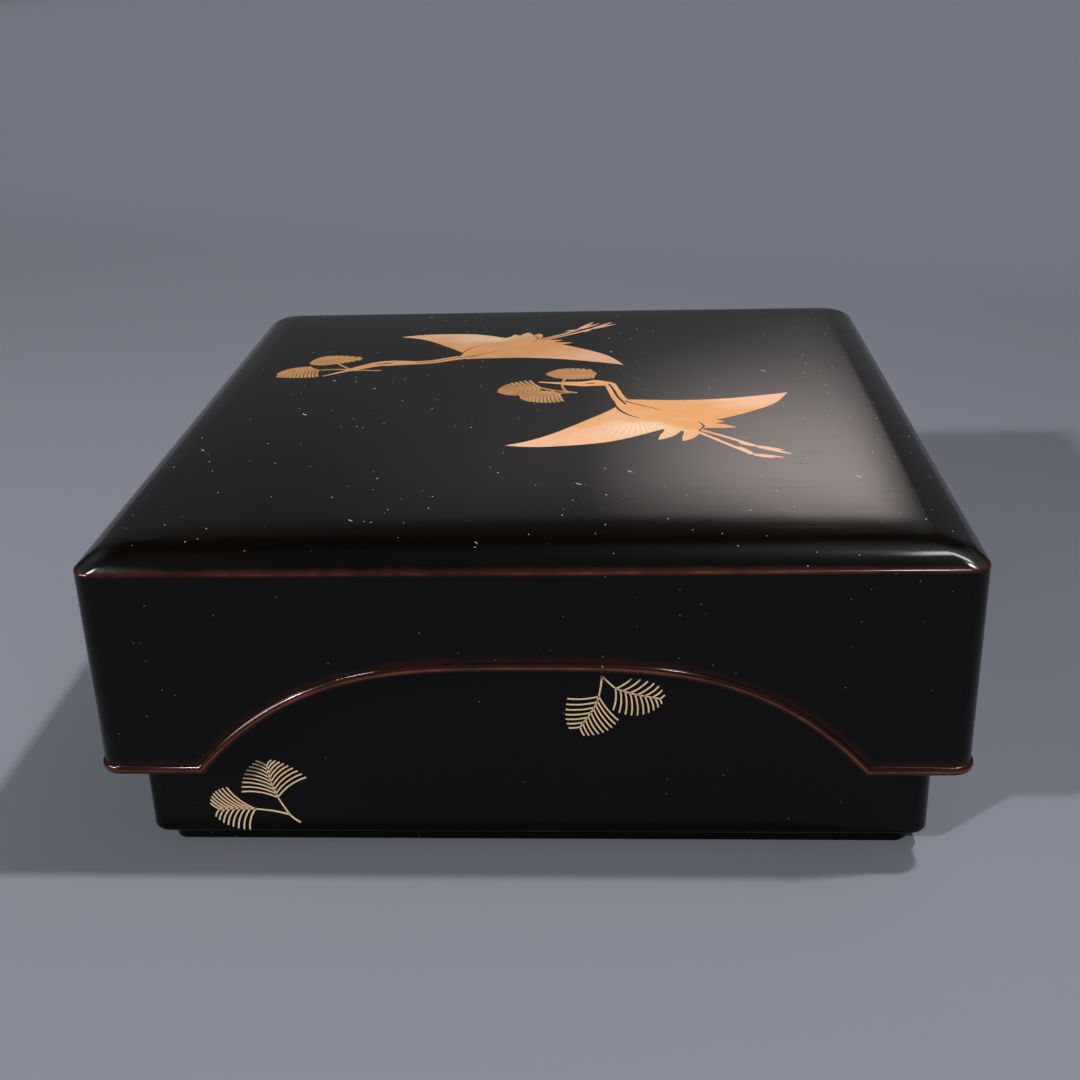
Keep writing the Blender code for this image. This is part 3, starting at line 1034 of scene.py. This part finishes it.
def staggered_grid(outlines, pitch):
    """Points in rows over the whole reach of the outlines. Only those inside them end up in the sheet."""
    xs = [x for outline in outlines for x, y in outline]
    ys = [y for outline in outlines for x, y in outline]
    columns = int((max(xs) - min(xs)) / pitch)
    rows = int((max(ys) - min(ys)) / pitch)
    return [
        (min(xs) + pitch * (column + 0.5 + 0.25 * (row % 2)), min(ys) + pitch * (row + 0.5))
        for row in range(rows)
        for column in range(columns)
    ]


def cut_film(outlines, pitch):
    """(points, triangles) of the sheet that the outlines cover together."""
    points, loops = [], []
    for outline in outlines:
        loops.append(list(range(len(points), len(points) + len(outline))))
        points += outline
    points += staggered_grid(outlines, pitch)
    flat = [Vector(point) for point in points]
    cut = delaunay_2d_cdt(flat, [], loops, 1, SAME_POINT)
    return [tuple(point) for point in cut[0]], cut[2]


def border_edges(triangles):
    """Directed edges that only one triangle has, which run round the sheet."""
    directed = {(a, b) for corners in triangles for a, b in zip(corners, corners[1:] + corners[:1])}
    return [(a, b) for a, b in directed if (b, a) not in directed]


def lay_film(name, sheet, lay, thickness, material, values):
    """Builds the film. Lay takes (x, y, height) to a place on the box, and values names numbers to store."""
    points, triangles = sheet
    sculpt = bmesh.new()
    layers = {key: sculpt.verts.layers.float.new(key) for key in values}
    used = sorted({index for corners in triangles for index in corners})
    levels = []
    for height in (-SUNK_SHARE * thickness, thickness):
        level = {}
        for index in used:
            level[index] = sculpt.verts.new(lay(*points[index], height))
            for key, value in values.items():
                level[index][layers[key]] = value(*points[index])
        levels.append(level)
    under, over = levels
    for a, b, c in triangles:
        sculpt.faces.new((over[a], over[b], over[c]))
        sculpt.faces.new((under[c], under[b], under[a]))
    for a, b in sorted(border_edges([tuple(corners) for corners in triangles])):
        sculpt.faces.new((under[a], under[b], over[b], over[a]))
    bmesh.ops.recalc_face_normals(sculpt, faces=sculpt.faces)
    return finish_mesh(name, sculpt, material)


# %% [markdown]
# The cranes. A crane in flight with a pine sprig in its beak is a very old sign of long life, and each
# workshop drew its own. This one is drawn in the bird's own directions: x runs from tail to head, y towards
# the wing that reaches forward. One wing sweeps ahead and the other behind, the legs trail, and the tail
# is a small fan of plumes. Both birds share that drawing, and each has its own neck. The far one is mirrored.

# %% The drawing of a crane
WING_AHEAD = [(17, 2.5), (15.4, 11), (15, 22), (15, 35), (16.4, 44), (19, 50.5)]
WING_AHEAD_REAR = [(19, 50.5), (11, 45.7), (1.4, 35), (-2.8, 27), (-6, 15), (-8, 5)]
WING_BEHIND = [(17.5, 0), (5, -9.3), (-3.7, -18.4), (-11, -29.3), (-14.2, -35)]
WING_BEHIND_REAR = [(-14.2, -35), (-17, -25), (-16.4, -15), (-13.8, -4), (-10, 4)]
TRUNK = [(18, 0), (19, 4), (12, 9), (0, 12.5), (-8, 13), (-14, 10), (-14, 5), (-8, 0), (4, -3), (18, 0)]
NEAR_PLUMES = [
    ((-6.5, 9), (-10.5, 21.5), 4.6),
    ((-11.5, 8), (-16.2, 18.2), 4.4),
    ((-9, 6), (-15.4, -1.8), 4.2),
    ((-10, 8), (-20.8, 0.2), 4.4),
]
FAR_PLUMES = [
    ((-5, 8), (-10.6, 14.4), 4.6),
    ((-8, 8), (-15.6, 13.6), 5.0),
    ((-10, 6), (-17.6, 9.6), 4.6),
    ((-8, 4), (-18, -2), 4.2),
    ((-8, 2), (-18.4, -7), 4.0),
]
NEAR_LEGS = [
    ([(-13, 9.4), (-25, 12.2), (-36.2, 14.7)], [(-43.8, 11.4), (-42, 13.4), (-30.0, 12.2)]),
    ([(-13, 8.0), (-24.4, 8.4), (-33.0, 9.2)], [(-44.0, 8.0), (-41, 6.9), (-28.0, 9.7)]),
]
FAR_LEGS = [
    ([(-12, 3.6), (-22, 3.7), (-30, 5.2)], [(-41, 9.8), (-41.5, 7.0), (-26, 6.4)]),
    ([(-13, 1.8), (-24, 2.0), (-34, 2.8)], [(-45.6, 5.2), (-45, 2.4), (-30, 1.4)]),
]
LEG_WIDTHS = [1.3, 1.1, 1.4]
TOE_WIDTH = 1.5
RESERVED_LINES = [
    ([(19.5, 4.2), (14.5, 8.3), (9.2, 10.6), (4.5, 10.9)], [0.5, 0.8, 0.15]),
    ([(17.5, 1.6), (13.3, 1.9), (8.9, 1.6), (3.4, 1.7)], [0.6, 0.5, 0.1]),
    ([(-9.8, 2.9), (-13.3, 5.0), (-14.6, 8.9)], [0.15, 0.7, 0.5]),
]
NECK_LINE_WIDTHS = [0.6, 0.8, 0.5]
NECK_WIDTHS = [4.6, 3.9, 3.5, 3.4, 3.8]
BEAK_WIDTHS = [4.2, 3.6, 2.2, 1.5, 0.4]
HEAD_WIDTHS = [3.2, 5.6, 4.8, 2.6]
EYE_LINE_WIDTH = 0.8  # of the dark line from the eye into the beak
PLUME_BEND = 0.08
FILM_GRID = 2.2
LINE_GRID = 4.0
LINE_FILM = 1.3 * GOLD_FILM


def wing(fore_edge, rear_edge, share):
    """A wing's outline from its two edges, drawn out to the side, or in, by this share."""
    fore, rear = ([(x, y * share) for x, y in edge] for edge in (fore_edge, rear_edge))
    return smooth_path(fore) + smooth_path(rear)[1:]


def crane_outlines(neck, beak, ahead, behind, plumes, legs):
    wing_ahead = wing(WING_AHEAD, WING_AHEAD_REAR, ahead)
    wing_behind = wing(WING_BEHIND, WING_BEHIND_REAR, behind)
    outlines = [wing_ahead, wing_behind, smooth_path(TRUNK)[:-1]]
    outlines.append(ribbon(neck, NECK_WIDTHS))
    outlines.append(ribbon([neck[-2], neck[-1], beak[1], beak[2]], HEAD_WIDTHS))
    outlines.append(ribbon(beak, BEAK_WIDTHS))
    outlines += [leaf(root, tip, width, PLUME_BEND) for root, tip, width in plumes]
    for path, toes in legs:
        outlines.append(ribbon(path, LEG_WIDTHS))
        outlines += [leaf(path[-1], toe, TOE_WIDTH) for toe in toes]
    return outlines


# %% Placing the cranes on the lid


def on_lid(x, y, height):
    """From millimetres on the lid, seen from above, to a place on its crowned top."""
    return (x * MM, y * MM, TOP_HEIGHT + crown(x * MM, y * MM) + height)


def bird_place(middle, heading_degrees, mirrored):
    """A function that takes the bird's own x and y to millimetres on the lid."""
    turn = math.radians(heading_degrees)
    side = -1 if mirrored else 1

    def place(x, y):
        y = y * side
        return (
            middle[0] + x * math.cos(turn) - y * math.sin(turn),
            middle[1] + x * math.sin(turn) + y * math.cos(turn),
        )

    return place


def make_crane(
    name, material, middle, heading_degrees, mirrored, neck, beak, ahead, behind, plumes, legs, line_share
):
    """The gold film of one bird and the black lines over it. Ahead and behind stretch its wings."""
    place = bird_place(middle, heading_degrees, mirrored)

    def lay(x, y, height):
        return on_lid(*place(x, y), height)

    outlines = crane_outlines(neck, beak, ahead, behind, plumes, legs)
    values = {"along": lambda x, y: x, "across": lambda x, y: y}
    film = lay_film(name, cut_film(outlines, FILM_GRID), lay, GOLD_FILM, material, values)
    paths = RESERVED_LINES + [(neck[:-1], NECK_LINE_WIDTHS)]
    strokes = [ribbon(path, [width * line_share for width in widths]) for path, widths in paths]
    strokes.append(leaf(neck[-1], beak[1], EYE_LINE_WIDTH))
    lines = lay_film(name + "_lines", cut_film(strokes, LINE_GRID), lay, LINE_FILM, body_lacquer, {})
    return film, lines


near_crane, near_lines = make_crane(
    "near_crane",
    near_gold,
    middle=(38, -16),
    heading_degrees=140.6,
    mirrored=False,
    neck=[(15, 4), (21, 0.2), (27.5, -5.2), (31.6, -8.2), (35.2, -6.6)],
    beak=[(33.5, -7), (37.4, -3.8), (43, -0.2), (49.6, 3.2)],
    ahead=1.0,
    behind=1.0,
    plumes=NEAR_PLUMES,
    legs=NEAR_LEGS,
    line_share=1.0,
)
far_crane, far_lines = make_crane(
    "far_crane",
    far_gold_painted_shade,
    middle=(-12, 51),
    heading_degrees=219.8,
    mirrored=True,
    neck=[(14, 2), (21.8, 4.2), (28, 5.6), (33, 8.5), (38.6, 13.6)],
    beak=[(37, 12.5), (43.6, 16.2), (53, 16.6), (62.4, 17)],
    ahead=0.77,
    behind=1.09,
    plumes=FAR_PLUMES,
    legs=FAR_LEGS,
    line_share=0.5,
)

# %% [markdown]
# Pine sprigs. Each fan of needles is a short spine with a row of needles on both sides, long at the foot
# and short at the tip. That is a repeated shape along a path, the job of Geometry Nodes. The tree resamples
# the spine once for each side, sets a bent stroke on every point, shortens it towards the tip, and gives
# all strokes the same brush width. All is flat in this step and is laid on the box afterwards.

# %% The tree that grows needles along a spine
NEEDLE_INPUTS = {
    "Heading": ("NodeSocketFloat", 0.0),
    "Swell": ("NodeSocketFloat", 1.0),
    "Bend": ("NodeSocketFloat", 0.12),
    "Width": ("NodeSocketFloat", 0.4),
    "Material": ("NodeSocketMaterial", None),
}
SIDE_INPUTS = {
    " needles": ("NodeSocketInt", 9),
    " length": ("NodeSocketFloat", 8.0),
    " tip length": ("NodeSocketFloat", 3.0),
    " lean": ("NodeSocketFloat", 1.0),
    " tip lean": ("NodeSocketFloat", 0.8),
    " taper from": ("NodeSocketFloat", 0.86),
    " end": ("NodeSocketFloat", 0.45),
}
for side_name in ("Left", "Right"):
    NEEDLE_INPUTS.update({side_name + name: socket for name, socket in SIDE_INPUTS.items()})
NEEDLE_POINTS = 8


def between(tree, factor, start, end, start_at=0.0):
    """Start as far as the factor start_at, then evenly on to end, which is reached where the factor is 1."""
    inputs = {"Value": factor, "From Min": start_at, "To Min": start, "To Max": end}
    return add_node(tree, "ShaderNodeMapRange", inputs).outputs["Result"]


def keep_thickness(tree, curve, thickness):
    """Stores each point's share of the brush width, which outlives the joining of the strokes."""
    inputs = {"Geometry": curve, "Name": "thickness", "Value": thickness}
    return add_node(tree, "GeometryNodeStoreNamedAttribute", inputs).outputs["Geometry"]


def needle_stroke(tree, given, name, side):
    """One bent stroke, a unit long, that thins towards its end."""
    bulge = vector(tree, X=0.5, Y=product(tree, given["Bend"], -side))
    path = {"Start": (0, 0, 0), "Middle": bulge, "End": (1, 0, 0), "Resolution": NEEDLE_POINTS}
    stroke = add_node(tree, "GeometryNodeCurveQuadraticBezier", path)
    factor = add_node(tree, "GeometryNodeSplineParameter").outputs["Factor"]
    thickness = between(tree, factor, 1.0, given[name + " end"], given[name + " taper from"])
    return keep_thickness(tree, stroke.outputs["Curve"], thickness)


def needle_row(tree, given, side):
    """Strokes on one side of the spine: side is 1 on its left and -1 on its right."""
    name = "Left" if side == 1 else "Right"
    spine = {"Curve": given["Geometry"], "Count": given[name + " needles"]}
    points = add_node(tree, "GeometryNodeResampleCurve", spine).outputs["Curve"]
    factor = add_node(tree, "GeometryNodeSplineParameter").outputs["Factor"]
    lean = between(tree, factor, given[name + " lean"], given[name + " tip lean"])
    turn = scale_and_add(tree, lean, side, given["Heading"])
    hump = product(tree, factor, math_node(tree, "SUBTRACT", 1.0, factor), 4.0)
    straight = between(tree, factor, given[name + " length"], given[name + " tip length"])
    length = scale_and_add(tree, hump, given["Swell"], straight)
    needles = {
        "Points": points,
        "Instance": needle_stroke(tree, given, name, side),
        "Rotation": vector(tree, Z=turn),
        "Scale": vector(tree, X=length, Y=length, Z=1.0),
    }
    return add_node(tree, "GeometryNodeInstanceOnPoints", needles).outputs["Instances"]


def make_needle_tree():
    tree = bpy.data.node_groups.new("pine_needles", "GeometryNodeTree")
    tree.interface.new_socket(name="Geometry", in_out="INPUT", socket_type="NodeSocketGeometry")
    for name, (kind, default) in NEEDLE_INPUTS.items():
        socket = tree.interface.new_socket(name=name, in_out="INPUT", socket_type=kind)
        if default is not None:
            socket.default_value = default
    tree.interface.new_socket(name="Geometry", in_out="OUTPUT", socket_type="NodeSocketGeometry")
    given = tree.nodes.new("NodeGroupInput").outputs
    strokes = tree.nodes.new("GeometryNodeJoinGeometry")
    tree.links.new(keep_thickness(tree, given["Geometry"], 1.0), strokes.inputs[0])
    for side in (1, -1):
        tree.links.new(needle_row(tree, given, side), strokes.inputs[0])
    real = add_node(tree, "GeometryNodeRealizeInstances", {"Geometry": strokes.outputs[0]})

    thickness = add_node(tree, "GeometryNodeInputNamedAttribute", {"Name": "thickness"}).outputs["Attribute"]
    rounded = add_node(tree, "GeometryNodeSetCurveRadius", {"Curve": real.outputs[0], "Radius": thickness})
    upright = add_node(tree, "GeometryNodeSetCurveNormal", {"Curve": rounded.outputs[0]}, mode="Z_UP")
    brush = {"Width": given["Width"], "Height": 1.0}
    profile = add_node(tree, "GeometryNodeCurvePrimitiveQuadrilateral", brush).outputs["Curve"]
    sweep = {"Curve": upright.outputs[0], "Profile Curve": profile, "Fill Caps": True}
    swept = add_node(tree, "GeometryNodeCurveToMesh", sweep).outputs["Mesh"]
    lifted = add_node(tree, "GeometryNodeTransform", {"Geometry": swept, "Translation": (0, 0, 0.5)})
    solid = add_node(tree, "GeometryNodeRealizeInstances", {"Geometry": lifted.outputs[0]})
    gilding = {"Geometry": solid.outputs[0], "Material": given["Material"]}
    finished = add_node(tree, "GeometryNodeSetMaterial", gilding)
    output = tree.nodes.new("NodeGroupOutput")
    tree.links.new(finished.outputs[0], output.inputs[0])
    return tree


needle_tree = make_needle_tree()
print("tree", needle_tree.name, "has", len(needle_tree.nodes), "nodes")

# %% [markdown]
# A modifier's inputs go by the identifiers of their sockets and not by their names, so a small lookup comes
# first. The result is turned into a plain mesh, its flat millimetres are laid on the box, and the helper
# curve is thrown away.

# %% From spines to a gold sprig
TWIG_FOOT = 1.3  # how many times as wide a twig is where it starts


def set_inputs(modifier, tree, values):
    names = {item.name: item.identifier for item in tree.interface.items_tree if item.in_out == "INPUT"}
    for name, value in values.items():
        modifier[names[name]] = value


def grow_fan(spine, values):
    """One fan of needles as a flat mesh in millimetres, one unit thick."""
    data = bpy.data.curves.new("spine", "CURVE")
    data.dimensions = "3D"
    path = smooth_path(spine)
    spline = data.splines.new("POLY")
    spline.points.add(len(path) - 1)
    for target, (x, y) in zip(spline.points, path):
        target.co = (x, y, 0, 1)
    helper = bpy.data.objects.new("spine", data)
    bpy.context.scene.collection.objects.link(helper)
    modifier = helper.modifiers.new("needles", "NODES")
    modifier.node_group = needle_tree
    set_inputs(modifier, needle_tree, values)
    graph = bpy.context.evaluated_depsgraph_get()
    flat = bpy.data.meshes.new_from_object(helper.evaluated_get(graph))
    bpy.data.objects.remove(helper)
    bpy.data.curves.remove(data)
    return flat


def add_twig(sculpt, twig, width):
    outline = ribbon(twig, [TWIG_FOOT * width, width])
    lower = [sculpt.verts.new((x, y, 0)) for x, y in outline]
    upper = [sculpt.verts.new((x, y, 1)) for x, y in outline]
    sculpt.faces.new(lower)
    sculpt.faces.new(reversed(upper))
    for index in range(len(outline)):
        following = (index + 1) % len(outline)
        sculpt.faces.new((lower[index], upper[index], upper[following], lower[following]))


def grow_sprig(name, fans, twigs, twig_width, lay, material):
    """Joins fans and twigs into one piece and lays it on the box. Fans are (spine, values) pairs."""
    sculpt = bmesh.new()
    for spine, values in fans:
        flat = grow_fan(spine, {"Material": material, **values})
        sculpt.from_mesh(flat)
        bpy.data.meshes.remove(flat)
    for twig in twigs:
        add_twig(sculpt, twig, twig_width)
    for vertex in sculpt.verts:
        height = (vertex.co.z * (1 + SUNK_SHARE) - SUNK_SHARE) * GOLD_FILM
        vertex.co = lay(vertex.co.x, vertex.co.y, height)
    bmesh.ops.recalc_face_normals(sculpt, faces=sculpt.faces)
    return finish_mesh(name, sculpt, material)


def on_front(x, z, height):
    """From millimetres on the front of the body to a place just proud of it."""
    return (x * MM, body_low.y - height, z * MM)


# How a row of needles ends: from which share of its length a needle thins, and how thick its end is.
ROUNDED = (0.86, 0.45)
TOOTHED = (0.45, 0.15)
LONG_TEETH = (0.32, 0.25)
SOLID = (0.92, 0.75)


def fan(spine, left, right, swell, width, bend=0.16, left_taper=ROUNDED, right_taper=ROUNDED):
    """Left and right are (needles, length at the foot and at the tip, lean at the foot and at the tip)."""
    run = (spine[-1][0] - spine[0][0], spine[-1][1] - spine[0][1])
    values = {"Heading": math.atan2(run[1], run[0]), "Swell": swell, "Width": width, "Bend": bend}
    for side, row, taper in (("Left", left, left_taper), ("Right", right, right_taper)):
        needles, length, tip_length, lean, tip_lean = row
        values[side + " needles"] = needles
        values[side + " length"] = length
        values[side + " tip length"] = tip_length
        values[side + " lean"] = math.radians(lean)
        values[side + " tip lean"] = math.radians(tip_lean)
        values[side + " taper from"], values[side + " end"] = taper
    return spine, values


# %% Sprigs in the cranes' beaks
BROAD = {"width": 1.25, "bend": 0.08}
FRINGED = {"width": 0.88, "bend": 0.08}
LID_TWIG = 0.7
BOTH_TOOTHED = {"left_taper": TOOTHED, "right_taper": TOOTHED}
LEFT_TOOTHED = {"left_taper": TOOTHED, "right_taper": SOLID}
RIGHT_TOOTHED = {"left_taper": SOLID, "right_taper": TOOTHED}
LEFT_DEEPER = {"left_taper": LONG_TEETH, "right_taper": TOOTHED}
BOTH_SOLID = {"left_taper": SOLID, "right_taper": SOLID}
near_sprig = grow_sprig(
    "near_crane_sprig",
    fans=[
        fan(
            [(-1.6, 7.2), (-7.8, 5.4), (-13.0, 3.2)],
            (11, 6.2, 0.8, 62, 50),
            (12, 8.4, 1.2, 84, 50),
            2.2,
            **FRINGED,
            **BOTH_TOOTHED,
        ),
        fan(
            [(4.2, 1.4), (-1.2, 0.4), (-6.4, -1.4)],
            (12, 7.6, 2.0, 86, 66),
            (11, 3.6, 1.0, 60, 50),
            2.6,
            **FRINGED,
            **LEFT_TOOTHED,
        ),
        fan(
            [(14.6, 21.4), (7.5, 21.6), (0.4, 21.2)],
            (13, 5.2, 0.8, 80, 60),
            (11, 5.0, 0.8, 66, 50),
            3.0,
            **BROAD,
            **RIGHT_TOOTHED,
        ),
    ],
    twigs=[
        [(9.6, 1.8), (6.0, 4.2), (4.8, 12.0), (6.9, 19.5), (9.0, 24.0)],
        [(8, 2.6), (3, 4.4), (-1.6, 7.2)],
        [(8, 2.2), (4.2, 1.6)],
    ],
    twig_width=LID_TWIG,
    lay=on_lid,
    material=lid_pine_gold,
)
far_sprig = grow_sprig(
    "far_crane_sprig",
    fans=[
        fan(
            [(-73.4, 31), (-79.5, 30.2), (-85, 28.4)],
            (12, 7.2, 3.6, 86, 74),
            (12, 6.0, 1.2, 62, 50),
            1.4,
            **FRINGED,
            **LEFT_DEEPER,
        ),
        fan(
            [(-61.6, 43.2), (-69, 42.6), (-76.6, 39.4)],
            (13, 2.2, 1.0, 60, 55),
            (13, 2.4, 1.2, 66, 55),
            4.2,
            **BROAD,
            **BOTH_SOLID,
        ),
    ],
    twigs=[
        [(-53, 28.6), (-57.8, 29.4), (-62.6, 30.6), (-69.2, 39.7), (-71.1, 46.7)],
        [(-62.6, 30.6), (-68, 31.4), (-73.4, 31)],
    ],
    twig_width=LID_TWIG,
    lay=on_lid,
    material=lid_pine_gold,
)

# %% Sprigs on the front of the body
FINE = 0.38
left_sprig = grow_sprig(
    "front_sprig_left",
    fans=[
        fan(
            [(-64.1, 15.0), (-65.4, 19.7), (-66.0, 24.2)],
            (9, 9.1, 3.0, 68, 50),
            (9, 9.7, 2.2, 64, 50),
            0.8,
            FINE,
        ),
        fan(
            [(-70.1, 11.6), (-74.3, 11.7), (-79.2, 11.5)],
            (8, 6.5, 2.6, 71, 60),
            (8, 9.2, 2.8, 44, 40),
            1.2,
            FINE * 1.1,
        ),
    ],
    twigs=[
        [(-59.0, 7.6), (-61.4, 9.8), (-64.1, 15.0)],
        [(-61.6, 10.0), (-65.5, 11.0), (-70.1, 11.6)],
    ],
    twig_width=FINE,
    lay=on_front,
    material=front_pine_gold,
)
right_sprig = grow_sprig(
    "front_sprig_right",
    fans=[
        fan(
            [(16.5, 43.8), (15.2, 40.5), (11.9, 35.4)],
            (9, 8.0, 2.6, 64, 50),
            (7, 7.6, 2.8, 57, 56),
            1.0,
            FINE,
            bend=0.1,
        ),
        fan(
            [(20.5, 46.0), (24.9, 44.5), (31.0, 43.2)],
            (7, 4.7, 1.6, 50, 55),
            (10, 6.0, 1.5, 81, 54),
            1.9,
            FINE,
            bend=0.12,
        ),
    ],
    twigs=[
        [(17.3, 49.4), (17.0, 46.6), (16.5, 43.8)],
        [(17.3, 49.4), (19.0, 47.5), (20.5, 46.0)],
    ],
    twig_width=FINE,
    lay=on_front,
    material=front_pine_gold,
)

# %% [markdown]
# Every piece rides on the one body that the frame has, and the two skins stand for the two solids.

# %% Hand over
for skin_piece, node_name in ((lid_shell, "lid"), (body_shell, "box_body")):
    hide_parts(node_name)
for lacquered in (lid_shell, body_shell, near_lines, far_lines):
    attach(lacquered, "root")
for gilded in (near_crane, far_crane, near_sprig, far_sprig, left_sprig, right_sprig):
    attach(gilded, "root")
